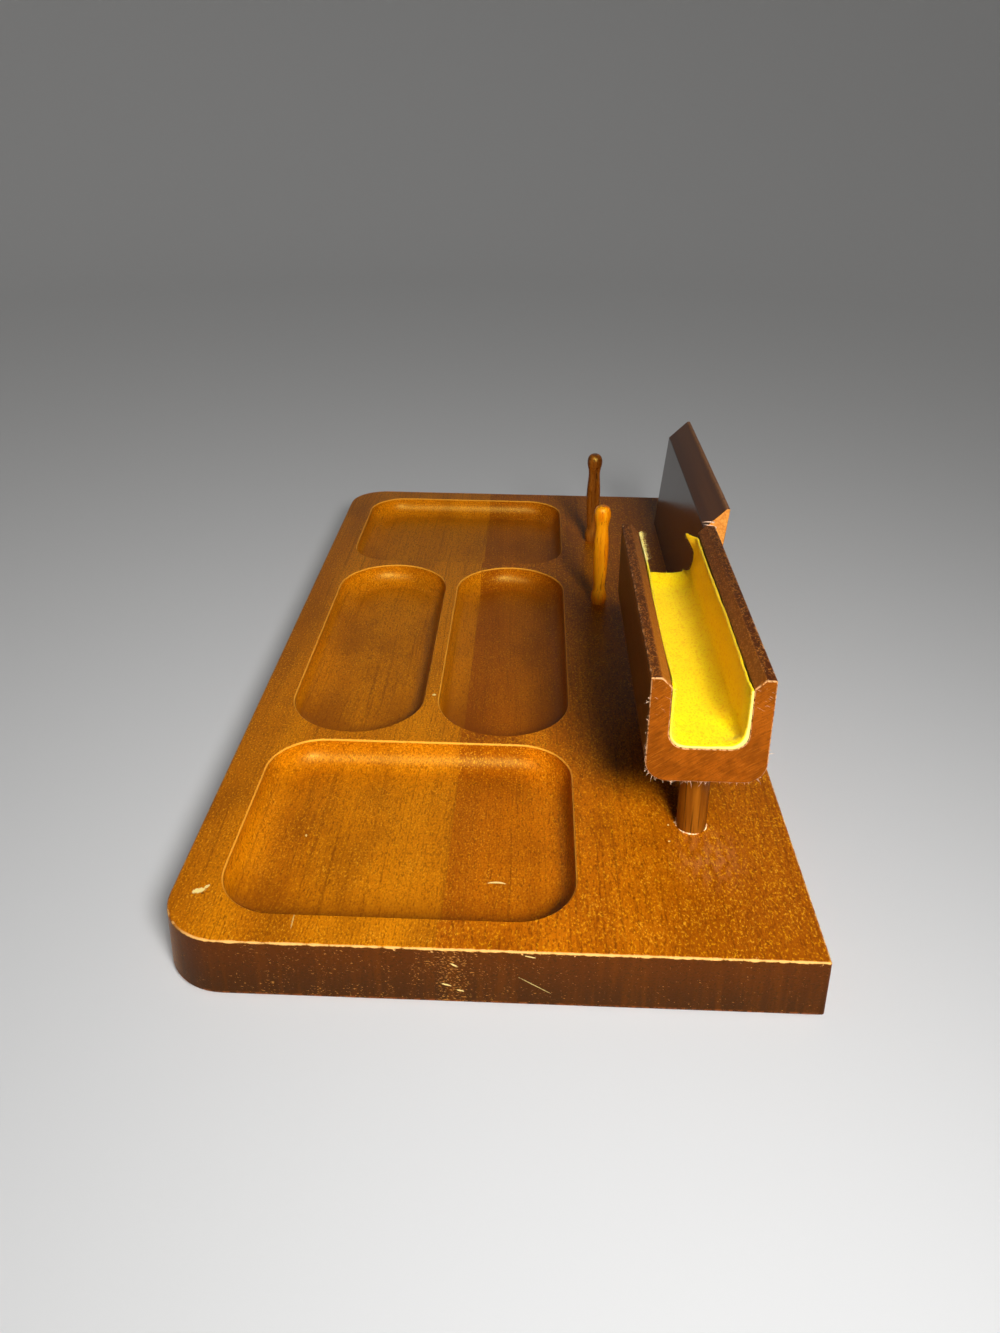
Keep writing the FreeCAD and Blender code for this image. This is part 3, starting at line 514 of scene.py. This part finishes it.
def cradle_finish():
    """Dark stain with a grain along x. The ends show slanting saw marks, and the edges show bare wood."""
    finish, shader, place, normal = begin_finish("cradle_stain")
    x, y, z = place.split()
    facing_x, facing_y, _ = [abs(way) for way in normal.split()]
    bands = place.cloud((120.0, 5.0, 5.0), 2.0, 2.0).rise(0.3, 0.7)
    fibres = place.cloud((20.0, 0.7, 0.7), 3.0, 5.0)
    sand = place.cloud((0.6, 0.5, 0.5), 2.0)
    top_gap = cradle_high[2] - z
    colour = paint(bands, tone(76, 30, 4), tone(110, 50, 8))
    # Painted shade: both flat sides are painted near black brown, as the left side lies in the lamp's
    # shade.
    colour = paint(facing_y.rise(0.8, 1.0) * 0.75, colour, tone(44, 14, 1))
    colour = paint(top_gap.rise(0.6, 0.1) * 0.6, colour, tone(66, 22, 2))
    colour = paint(fibres.rise(0.52, 0.26) * 0.5, colour, tone(48, 20, 8))
    colour = paint(fibres.rise(0.62, 0.78) * 0.4, colour, tone(150, 82, 30))

    # The slopes inside the top edges are painted paler. Partly the stain is thin there; the rest is
    # painted light, stronger on the left slope, which faces the lamp, and fading towards the far end, away
    # from the lamp.
    from_middle = y - cradle_middle
    slope_stain_and_light = z.rise(79.2, 80.0) * abs(from_middle).rise(15.6, 14.6)
    slope_stain_and_light = slope_stain_and_light * (0.45 + 0.35 * from_middle.rise(1.0, -1.0)) * (0.3 + 0.7 * x.rise(30.0, 130.0))
    colour = paint(slope_stain_and_light, colour, tone(184, 104, 22))

    # Fine saw marks run up to the right across the ends.
    slanted = place.turned((0.0, 0.0, 0.0), (0.62, 0.0, 0.0))
    streaks = slanted.cloud((2.0, 3.6, 0.30), 2.0, 3.0)
    patches = place.cloud((9.0, 5.0, 5.0), 2.0, 9.0)
    sawn = paint(patches.rise(0.35, 0.65), tone(128, 60, 4), tone(150, 73, 7))
    sawn = paint(streaks.rise(0.50, 0.32) * 0.45, sawn, tone(86, 38, 3))
    sawn = paint(streaks.rise(0.56, 0.72) * 0.36, sawn, tone(186, 106, 26))
    sawn = paint(sand.rise(0.44, 0.28) * 0.5, sawn, tone(88, 40, 6))
    ends = facing_x.rise(0.7, 0.95)
    colour = paint(ends, colour, sawn)

    # Bare wood on the rounded edges: almost all along the ends, and broken lines along the length.
    nibble = place.cloud((1.3, 1.0, 1.0), 3.0, 8.0)
    from_end = (x - cradle_low[0]).least(cradle_high[0] - x)
    end_edge = from_end.rise(0.7, 0.3) * facing_x.rise(0.985, 0.9)
    rubbed = end_edge * nibble.rise(0.40, 0.52)
    side_gap = (y - cradle_low[1]).least(cradle_high[1] - y)
    long_edge = top_gap.rise(0.7, 0.3) * side_gap.rise(0.7, 0.3)
    dots = place.cloud((2.6, 1.2, 1.2), 3.0, 6.0)
    rubbed = rubbed.most(long_edge * dots.rise(0.54, 0.64))
    specks = place.cloud((0.9, 0.7, 0.7), 2.0, 13.0)
    rubbed = rubbed.most(specks.rise(0.66, 0.72) * top_gap.rise(4.0, 2.5) * 0.7)
    colour = paint(rubbed * 0.9, colour, tone(222, 164, 108))

    # Fine scratches in all directions cover the top and the slopes: the level lines of a noise.
    scuffs = place.cloud((2.4, 1.6, 1.6), 1.0, 17.0)
    scuff = abs(scuffs - 0.5).rise(0.08, 0.02) * sand.rise(0.40, 0.58) * top_gap.rise(4.0, 2.8)
    colour = paint(scuff * (1.0 - ends) * 0.6, colour, tone(200, 124, 48))

    # Hairline scratches across the ends, near the tops of the walls.
    scored = place.turned((0.0, 0.0, 0.0), (-0.5, 0.0, 0.0)).cloud((2.0, 3.0, 0.22), 1.0, 11.0)
    scratch = scored.rise(0.70, 0.78) * ends * z.rise(66.0, 78.0)
    colour = paint(scratch * 0.6, colour, tone(250, 206, 160))

    rough = 0.42 + (sand - 0.5) * 0.2 + ends * 0.16 + rubbed * 0.2
    height = fibres * 0.35 + sand * 0.2 + ends * streaks * 0.3 - rubbed * 0.4
    end_finish(shader, colour, rough, height, 0.12)
    shader.inputs["Specular IOR Level"].default_value = 0.28
    shader.inputs["Specular Tint"].default_value = amber_gloss
    return finish


dress("eyeglass_cradle", cradle_finish())


def hairs(roots, heads, bends, thick, rings=5):
    """Thin tapering tubes. Each runs from its root along its head by t and its bend by t squared,
    with a square of four points round each ring that shrinks to a tip."""
    t = np.linspace(0.0, 1.0, rings)[None, :, None]
    line = roots[:, None] + heads[:, None] * t + bends[:, None] * t * t
    forward = heads / np.linalg.norm(heads, axis=1, keepdims=True)
    side = np.cross(forward, [0.31, 0.52, 0.79])
    side = side / np.linalg.norm(side, axis=1, keepdims=True)
    third = np.cross(forward, side)
    angle = np.linspace(0.0, 2.0 * math.pi, 4, endpoint=False)[None, :, None]
    spread = side[:, None, :] * np.cos(angle) + third[:, None, :] * np.sin(angle)
    size = thick[:, None, None, None] * (1.0 - 0.85 * t[..., None])
    return line[:, :, None, :] + spread[:, None] * size


# Torn fibres stand out along the near end, most of them round the lower left corner.
fray_turn = np.concatenate(
    [rng.uniform(3.5, 4.5, 44), rng.uniform(4.4, 6.0, 28), rng.uniform(2.6, 3.5, 18)]
)
fray_count = len(fray_turn)
half_block = (cradle_high - cradle_low) / 2.0
block_middle = (cradle_high + cradle_low) / 2.0
fray_way = np.stack([np.cos(fray_turn), np.sin(fray_turn)], -1)
inner_half = half_block[1:] - cradle_round
fray_stretch = np.abs(fray_way).max(axis=1, keepdims=True)
fray_core = np.clip(fray_way / fray_stretch * half_block[1:], -inner_half, inner_half)
fray_toward = fray_way / fray_stretch * half_block[1:] - fray_core
fray_toward = fray_toward / np.maximum(np.linalg.norm(fray_toward, axis=1, keepdims=True), 1e-6)
fray_edge = fray_core + fray_toward * (cradle_round - 0.2) + block_middle[1:]
fray_roots = np.column_stack([cradle_high[0] - rng.uniform(0.15, 0.7, fray_count), fray_edge])
fray_long = rng.uniform(0.35, 1.3, (fray_count, 1))
fray_lean = rng.uniform(-0.2, 0.7, fray_count)
fray_stray = rng.normal(0.0, 0.45, (fray_count, 2))
fray_heads = np.column_stack([fray_lean, fray_toward + fray_stray]) * fray_long
fray_bends = rng.normal(0.0, 0.25, (fray_count, 3)) * fray_long
fray = hairs(fray_roots, fray_heads, fray_bends, rng.uniform(0.05, 0.11, fray_count))
torn_wood, torn_shader, torn_place, _ = begin_finish("torn_wood")
torn_grain = torn_place.cloud((0.4, 0.4, 0.4), 2.0)
torn_colour = paint(torn_grain.rise(0.35, 0.65), tone(224, 160, 112), tone(250, 222, 190))
end_finish(torn_shader, torn_colour, 0.7 + torn_grain * 0.1, torn_grain, 0.05)
cradle_fray = skin("cradle_frayed_fibres", fray, torn_wood)


# The lining is a strip of yellow wool felt bent into the channel and stuck down.
# It was cut by hand, so its edges are uneven; the far end has come loose and its corner curls inwards.
lining_thick = 0.9
lining_side = 11.3
lining_floor = 59.6
lining_bend = 4.7
lining_top = 79.2
lining_wall = lining_top - lining_floor - lining_bend
lining_arc = lining_bend * math.pi / 2.0
lining_flat = 2.0 * (lining_side - lining_bend)
lining_width = 2.0 * lining_wall + 2.0 * lining_arc + lining_flat
lining_rows = 260
lining_cols = 100

# Middle line across the strip: it heads down the left wall, turns steadily through a quarter at each
# corner, crosses the floor and heads up the right wall. The places are running sums of the heading.
fine = np.linspace(0.0, lining_width, 4001)
left_bend_end = lining_wall + lining_arc
right_bend_start = lining_width - lining_wall - lining_arc
bend_starts = [0.0, lining_wall, left_bend_end, right_bend_start, lining_width - lining_wall, lining_width]
quarter = math.pi / 2
heading = np.interp(fine, bend_starts, [-quarter, -quarter, 0.0, 0.0, quarter, quarter])
step = fine[1] - fine[0]
fine_y = cradle_middle - lining_side + np.concatenate([[0.0], np.cumsum(np.cos(heading[:-1]) * step)])
fine_z = lining_top + np.concatenate([[0.0], np.cumsum(np.sin(heading[:-1]) * step)])


def smooth(value, start, end):
    """A smooth step from 0 at start to 1 at end."""
    share = np.clip((value - start) / (end - start), 0.0, 1.0)
    return share * share * (3.0 - 2.0 * share)


def wander(count, cells, size):
    """A seeded uneven line: random heights at evenly spaced places, joined smoothly by cosines."""
    places = np.linspace(0.0, cells, count)
    heights = rng.normal(0.0, size, cells + 2)
    low = np.floor(places).astype(int)
    share = 0.5 - 0.5 * np.cos((places - low) * math.pi)
    return heights[low] * (1.0 - share) + heights[low + 1] * share


def set_cut_and_shade(piece, cut_and_shade):
    """Store the cut paleness and painted shade of each point of a felt piece where its finish reads it."""
    layer = piece.data.attributes.new("cut_and_shade", "FLOAT_VECTOR", "POINT")
    layer.data.foreach_set("vector", cut_and_shade.reshape(-1))


# Rows and columns crowd towards the edges, so that the cut edges can be rounded.
row = np.linspace(0.0, 1.0, lining_rows)[:, None]
row = row - 0.95 * np.sin(2.0 * math.pi * row) / (2.0 * math.pi)
col = np.linspace(0.0, 1.0, lining_cols)[None, :]
col = col - 0.9 * np.sin(2.0 * math.pi * col) / (2.0 * math.pi)
trim_left = np.abs(wander(lining_rows, 26, 0.16) + wander(lining_rows, 90, 0.06))[:, None]
trim_right = np.abs(wander(lining_rows, 22, 0.18) + wander(lining_rows, 90, 0.06))[:, None]
across = trim_left + (lining_width - trim_left - trim_right) * col
trim_far = np.abs(wander(lining_cols, 12, 0.2) + wander(lining_cols, 44, 0.07))[None, :]
trim_near = np.abs(wander(lining_cols, 14, 0.16) + wander(lining_cols, 44, 0.08))[None, :]
along = cradle_low[0] + trim_far + (cradle_high[0] - cradle_low[0] - trim_far - trim_near) * row
turn = np.interp(across, fine, heading)
middle_y = np.interp(across, fine, fine_y)
middle_z = np.interp(across, fine, fine_z)
inward_y = -np.sin(turn)
inward_z = np.cos(turn)

# The strip stands off the wood where it has come loose: the far end, its curled corner, and a near crease.
from_far = along - cradle_low[0]
from_near = cradle_high[0] - along
loose_floor = 1.9 * smooth(from_far, 15.0, 0.0) ** 1.6 * smooth(np.abs(turn), 1.5, 0.6)
curl = 3.6 * smooth(from_far, 5.5, 0.0) * smooth(across, lining_width - 9.0, lining_width) ** 1.2
right_corner = lining_width - lining_wall - lining_arc * 0.45
crease = 1.5 * smooth(from_near, 9.5, 16.0) * np.exp(-((across - right_corner) / 5.2) ** 2)
swell = 0.75 * smooth(from_near, 5.5, 2.0) * np.exp(-((across - right_corner) / 5.5) ** 2)
sag = 0.25 * (1.0 + np.sin(from_far / 17.0 + across / 9.0)) * smooth(from_near, 0.0, 8.0)
push = loose_floor + curl + crease + sag
grit = rng.normal(0.0, 1.0, (lining_rows, lining_cols))
grit = (grit + np.roll(grit, 1, 0) + np.roll(grit, 1, 1) + np.roll(grit, (1, 1), (0, 1))) / 4.0
from_cut_end = np.minimum(from_far - trim_far, from_near - trim_near)
from_cut_side = np.minimum(across - trim_left, lining_width - trim_right - across)
from_cut = np.minimum(from_cut_end, from_cut_side)
rounding = np.sqrt(1.0 - (1.0 - np.clip(from_cut / 0.7, 0.0, 1.0)) ** 2)
back = push - lining_thick / 2.0 + 0.02
face = back + (lining_thick + swell) * (0.3 + 0.7 * rounding) + 0.05 * grit * rounding
lining_face = np.stack([along, middle_y + inward_y * face, middle_z + inward_z * face], -1)
lining_back = np.stack([along, middle_y + inward_y * back, middle_z + inward_z * back], -1)
lining_skin = np.concatenate([lining_face, lining_back[:, ::-1]], 1)[None]

# The wool is pale along its cuts. Its right wall is painted a deeper yellow: painted shade, as that wall
# faces away from the lamp.
wool_yellow = felt_finish(
    "yellow_wool_felt",
    tone(255, 222, 2),
    tone(240, 182, 1),
    tone(255, 232, 4),
    tone(255, 236, 146),
    tone(255, 196, 1),
)
felt_lining = skin("felt_lining", lining_skin, wool_yellow)
cut_ends = smooth(from_cut_end, 0.25, 0.05)
cut_left = smooth(across - trim_left, 0.3, 0.05) * smooth(from_far, 34.0, 22.0)
pale = np.maximum(cut_ends * (0.1 + 0.6 * smooth(across, 12.0, 22.0)), cut_left)
# Painted shade: the right wall, which faces away from the lamp, is painted a deeper yellow away from the
# near end.
painted_wall_shade = 0.5 * smooth(across, right_corner - 2.0, right_corner + 9.0) * smooth(from_near, 3.0, 14.0)
lining_cut_and_shade = np.stack([pale, painted_wall_shade, np.zeros_like(pale)], -1)
set_cut_and_shade(felt_lining, np.concatenate([lining_cut_and_shade, lining_cut_and_shade[:, ::-1]], 1))
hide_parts("cradle_felt_lining")

# Loose wool fibres stand up from the face, from the cut ends and from the left edge near the far end.
# The ones on cuts are paler, and those on the left edge are also thicker and longer.
face_fuzz = 1500
end_fuzz = 500
edge_fuzz = 420
fuzz_rows = np.concatenate(
    [
        rng.integers(0, lining_rows, face_fuzz),
        rng.choice([0, lining_rows - 1], end_fuzz),
        rng.integers(0, 90, edge_fuzz),
    ]
)
fuzz_cols = np.concatenate(
    [
        rng.integers(0, lining_cols - 8, face_fuzz),
        rng.integers(0, lining_cols, end_fuzz),
        rng.integers(0, 4, edge_fuzz),
    ]
)
fuzz_pale = np.repeat([0.1, 0.5, 0.95], [face_fuzz, end_fuzz, edge_fuzz])
on_edge = np.repeat([False, False, True], [face_fuzz, end_fuzz, edge_fuzz])
fuzz_count = len(fuzz_rows)
fuzz_roots = lining_face[fuzz_rows, fuzz_cols]
fuzz_up = np.column_stack(
    [np.zeros(fuzz_count), inward_y[fuzz_rows, fuzz_cols], inward_z[fuzz_rows, fuzz_cols]]
)
fuzz_thick = rng.uniform(0.018, 0.034, fuzz_count) * np.where(on_edge, 2.0, 1.0)
fuzz_long = rng.uniform(0.3, 1.0, (fuzz_count, 1)) * np.where(on_edge, 1.4, 1.0)[:, None]
fuzz_heads = (fuzz_up * 0.7 + rng.normal(0.0, 0.45, (fuzz_count, 3))) * fuzz_long
fuzz_bends = rng.normal(0.0, 0.35, (fuzz_count, 3)) * fuzz_long
fuzz = hairs(fuzz_roots, fuzz_heads, fuzz_bends, fuzz_thick)
felt_fuzz = skin("felt_loose_fibres", fuzz, wool_yellow)
fuzz_wear = np.zeros((fuzz_count, fuzz.shape[1] * fuzz.shape[2], 3))
fuzz_wear[:, :, 0] = fuzz_pale[:, None]
set_cut_and_shade(felt_fuzz, fuzz_wear)


# Two pegs keep a wallet upright against the rest. They are turned from wood and glued into the board.
# The right one is honey orange, and the left one is painted darker: painted shade, as it stands further
# from the lamp and in shadow.
peg_right_stain = upright_finish(
    "right_peg_stain", tone(244, 126, 2), tone(255, 168, 14), tone(184, 88, 4), (0.7, 0.7, 9.0), 6.0, 0.30
)
peg_left_stain_and_shade = upright_finish(
    "left_peg_stain_and_shade", tone(104, 50, 8), tone(162, 90, 20), tone(32, 11, 2), (0.8, 0.8, 9.0), 9.0, 0.28
)
dress("peg_right", peg_right_stain)
dress("peg_left", peg_left_stain_and_shade)


# The wallet rest is a thin board with a bevelled top, screwed on from below so that it leans back.
# It is stained nearly black brown and polished; the near end is torn, so that bare wood shows there.
def rest_finish():
    """Dark glossy stain with a grain along x, rubbed along the top edge, with bare wood on one end."""
    finish, shader, place, normal = begin_finish("rest_stain")
    x, y, z = place.split()
    facing_x = abs(normal.split()[0])
    bands = place.cloud((160.0, 30.0, 6.0), 2.0, 3.0).rise(0.3, 0.7)
    fibres = place.cloud((26.0, 0.8, 0.8), 3.0, 4.0)
    sand = place.cloud((0.6, 0.5, 0.5), 2.0, 1.0)
    colour = paint(bands, tone(58, 28, 12), tone(84, 44, 20))
    colour = paint(fibres.rise(0.50, 0.26) * 0.5, colour, tone(36, 16, 7))
    colour = paint(fibres.rise(0.64, 0.80) * 0.3, colour, tone(124, 70, 36))

    # Bevel and top edge: the stain is thinner there.
    bevel = z.rise(69.0, 70.4)
    colour = paint(bevel * 0.72, colour, paint(bands, tone(104, 54, 22), tone(130, 74, 32)))
    nibble = place.cloud((3.0, 1.5, 1.5), 3.0, 2.0)
    crest = z.rise(77.6, 78.3) * nibble.rise(0.30, 0.50)
    colour = paint(crest * 0.8, colour, tone(164, 112, 74))

    # Torn end: fingers of bare wood reach forward from the back edge.
    fingers = place.cloud((6.0, 5.0, 1.3), 2.0, 6.0)
    torn = ((y - 80.0) * 0.05 + (fingers - 0.5) * 1.5 + (z - 60.0) * 0.012).rise(0.0, 0.16)
    near_end = x.rise(-12.2, -11.2) * facing_x.rise(0.5, 0.9)
    bare = paint(fibres.rise(0.3, 0.7), tone(226, 130, 42), tone(248, 168, 72))
    colour = paint(torn * near_end, colour, bare)
    far_end = x.rise(-139.8, -140.6) * facing_x.rise(0.5, 0.9)
    colour = paint(far_end * 0.6, colour, tone(72, 36, 16))

    rough = 0.20 + (sand - 0.5) * 0.10 + bevel * 0.14 + crest * 0.2 + torn * near_end * 0.4
    height = fibres * 0.3 + sand * 0.15 + torn * near_end * fingers * 0.8
    end_finish(shader, colour, rough, height, 0.12)
    shader.inputs["Specular Tint"].default_value = (1.0, 0.72, 0.42, 1.0)
    return finish


dress("wallet_rest", rest_finish())

# Three splinters still hang on the torn end.
splinter_roots = np.array([[-10.7, 86.2, 72.4], [-10.7, 87.2, 70.0], [-10.8, 87.6, 68.4]])
splinter_heads = np.array([[0.3, -4.8, 0.9], [0.3, -4.6, 2.6], [0.3, -3.2, 0.4]])
splinter_bends = np.array([[0.1, -0.4, -0.8], [0.1, -0.9, -1.2], [0.1, -0.2, 0.2]])
splinters = hairs(splinter_roots, splinter_heads, splinter_bends, np.array([0.55, 0.5, 0.3]), 9)
rest_splinters = skin("rest_splinters", splinters, torn_wood)


# Two wood screws hold the wallet rest from under the board, with their heads sunk in the underside.
# They are plain steel with fine turned lines, a little dulled.
steel, steel_shader, steel_place, _ = begin_finish("dull_steel")
steel_cloud = steel_place.cloud((1.2, 1.2, 1.2), 3.0)
steel_lines = steel_place.cloud((0.2, 3.0, 3.0), 2.0, 3.0)
steel_colour = paint(steel_cloud.rise(0.35, 0.7), tone(150, 148, 146), tone(186, 186, 188))
steel_colour = paint(steel_lines.rise(0.6, 0.75) * 0.3, steel_colour, tone(110, 104, 100))
end_finish(steel_shader, steel_colour, 0.32 + steel_cloud * 0.2, steel_lines, 0.04)
steel_shader.inputs["Metallic"].default_value = 1.0
dress("rest_screws", steel)


# The stage is a pale round sweep: a flat floor that curves up to a wall all round the tray.
# Its profile of distances and heights is turned about the upright axis.
def seen_rays(tree):
    """1 on rays from the camera, off gloss and through glass, which show the plain background."""
    path = tree.nodes.new("ShaderNodeLightPath")
    seen = Wire(tree, path.outputs["Is Camera Ray"])
    seen = seen.most(Wire(tree, path.outputs["Is Glossy Ray"]))
    return seen.most(Wire(tree, path.outputs["Is Transmission Ray"]))


paper_lift = 0.12
warm_white = (1.0, 0.99, 0.97, 1.0)
sweep_floor = 1.1
sweep_round = 0.6
sweep_height = 1.3
sweep_bend = np.linspace(0.0, math.pi / 2.0, 25)
bend_out = sweep_floor + sweep_round * np.sin(sweep_bend)
bend_up = sweep_round - sweep_round * np.cos(sweep_bend)
sweep_out = np.concatenate([[0.001, 0.4, 0.8], bend_out, [sweep_floor + sweep_round]])
sweep_up = np.concatenate([[0.0, 0.0, 0.0], bend_up, [sweep_height]])
sweep_turn = np.linspace(0.0, 2.0 * math.pi, 96, endpoint=False)
sweep_grid = np.stack(
    [
        sweep_out[:, None] * np.cos(sweep_turn),
        sweep_out[:, None] * np.sin(sweep_turn),
        np.broadcast_to(sweep_up[:, None], (sweep_up.size, sweep_turn.size)),
    ],
    -1,
)
sweep_index = np.arange(sweep_out.size * sweep_turn.size).reshape(sweep_out.size, sweep_turn.size)
sweep_next = np.roll(sweep_index, -1, 1)
sweep_faces = np.stack(
    [sweep_index[:-1], sweep_index[1:], sweep_next[1:], sweep_next[:-1]], -1
).reshape(-1, 4)
sweep_mesh = bpy.data.meshes.new("sweep")
sweep_mesh.from_pydata(sweep_grid.reshape(-1, 3).tolist(), [], sweep_faces.tolist())
sweep_mesh.shade_smooth()
sweep_paper, sweep_shader, _, _ = begin_finish("pale_paper")
sweep_shader.inputs["Base Color"].default_value = (0.50, 0.50, 0.50, 1.0)
sweep_shader.inputs["Roughness"].default_value = 0.9
sweep_shader.inputs["Emission Color"].default_value = warm_white
sweep_lift = seen_rays(sweep_paper.node_tree) * paper_lift
sweep_paper.node_tree.links.new(sweep_lift.socket, sweep_shader.inputs["Emission Strength"])
sweep_mesh.materials.append(sweep_paper)
sweep = bpy.data.objects.new("sweep", sweep_mesh)
bpy.context.scene.collection.objects.link(sweep)


# The light is one soft panel above the near end and to the right, a dim sky, and a card for gloss alone.
# The camera stands at the near end, a little above the tray, as the photograph was taken.
def panel(name, place, aim, energy, spread):
    """An area lamp at a place, facing its aim. The camera doesn't see it."""
    lamp = bpy.data.lights.new(name, "AREA")
    lamp.energy = energy
    lamp.spread = math.radians(spread)
    back = np.array(place) - np.array(aim)
    back = back / np.linalg.norm(back)
    side = np.cross([0.0, 1.0, 0.0], back)
    side = side / np.linalg.norm(side)
    turned = np.eye(4)
    turned[:3, :] = np.column_stack([side, np.cross(back, side), back, place])
    stand = bpy.data.objects.new(name, lamp)
    stand.matrix_world = Matrix(turned.tolist())
    stand.visible_camera = False
    bpy.context.scene.collection.objects.link(stand)
    return stand


main_panel = panel("main_panel", [0.60, 0.18, 0.42], [0.13, -0.02, 0.02], 1.95, 100.0)
main_panel.data.shape = "DISK"
main_panel.data.size = 0.20

# A broad card above the camera shows as gloss on the hollows that face it, and adds no other light.
gloss_card = panel("gloss_card", [0.68, -0.06, 0.72], [0.08, -0.03, 0.02], 10.0, 180.0)
gloss_card.data.shape = "RECTANGLE"
gloss_card.data.size = 0.50
gloss_card.data.size_y = 0.90
gloss_card.visible_diffuse = False

# The sky is brighter overhead. Where it is seen it has one even level.
seen_sky = 0.16
world = bpy.data.worlds.new("sky")
bpy.context.scene.world = world
world.use_nodes = True
sky_tree = world.node_tree
sky = sky_tree.nodes["Background"]
way = Wire(sky_tree, sky_tree.nodes.new("ShaderNodeTexCoord").outputs["Generated"])
overhead = way.split()[2].most(0.0)
glow = 0.012 + overhead * 0.065
sky_level = glow + seen_rays(sky_tree) * (seen_sky - glow)
sky_tree.links.new(sky_level.socket, sky.inputs["Strength"])
sky.inputs["Color"].default_value = warm_white

lens = bpy.data.cameras.new("camera")
lens.sensor_fit = "AUTO"
lens.sensor_width = 36.0
lens.lens = 28.8387
lens.shift_y = -0.1024
lens.clip_start = 0.01
camera = bpy.data.objects.new("camera", lens)
camera_right = [-0.03515931, 0.99930504, 0.01238003]
camera_up = [-0.37515753, -0.02467917, 0.92663249]
camera_back = [0.92629404, 0.0279353, 0.37576451]
camera_place = [0.409618, 0.008775, 0.237045]
camera_frame = np.eye(4)
camera_frame[:3, :] = np.column_stack([camera_right, camera_up, camera_back, camera_place])
camera.matrix_world = Matrix(camera_frame.tolist())
bpy.context.scene.collection.objects.link(camera)
bpy.context.scene.camera = camera
bpy.context.scene.view_settings.view_transform = "Standard"
